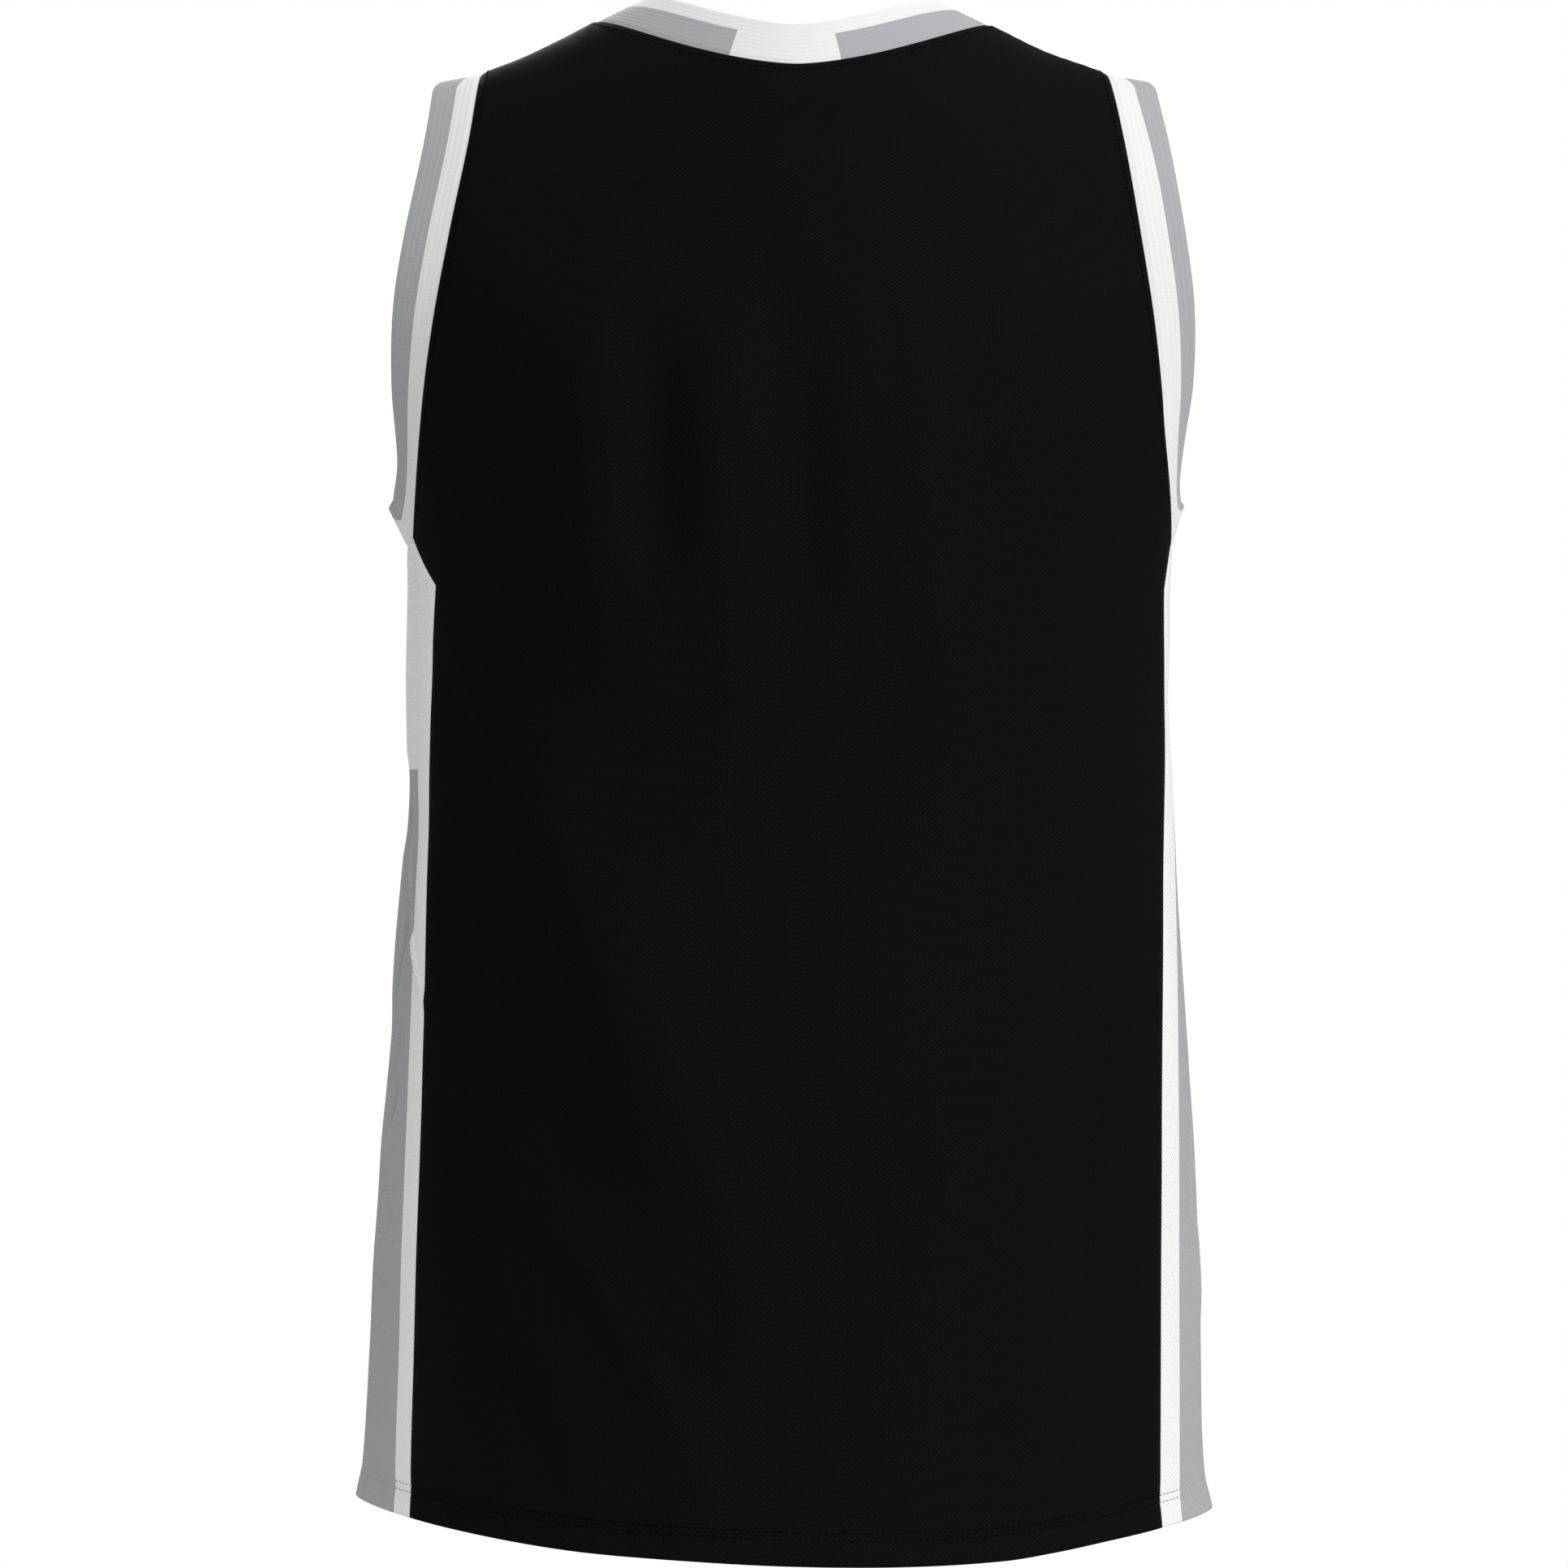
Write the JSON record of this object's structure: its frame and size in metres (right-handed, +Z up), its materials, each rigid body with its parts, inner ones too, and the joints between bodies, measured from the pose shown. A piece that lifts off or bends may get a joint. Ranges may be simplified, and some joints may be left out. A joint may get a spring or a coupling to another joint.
{
  "type": "basketball jersey",
  "caption": "Sleeveless round-neck basketball jersey in its worn shape: black front and back, white and grey side pieces, striped knit ribs round neck and armholes.",
  "frame": {"origin": "midway between the two shoulder straps, level with the high points of the shoulder seams, where the wearer's shoulders hold the jersey", "axes": "+Z up along the wearer's spine, +Y towards the wearer's back, +X towards the wearer's left"},
  "size_m": [0.4432, 0.2855, 0.7801],
  "materials": {
    "black_mesh": "matt knitted polyester mesh with a faint sheen",
    "white_mesh": "matt knitted polyester mesh, white with a printed grey stripe",
    "rib_knit": "matt ribbed knit, half white and half grey"
  },
  "bodies": {
    "root": {"back_panel": "black_mesh", "front_panel": "black_mesh", "side_panel_left": "white_mesh", "side_panel_right": "white_mesh", "neck_rib": "rib_knit", "armhole_rib_left": "rib_knit", "armhole_rib_right": "rib_knit"}
  },
  "joints": []
}
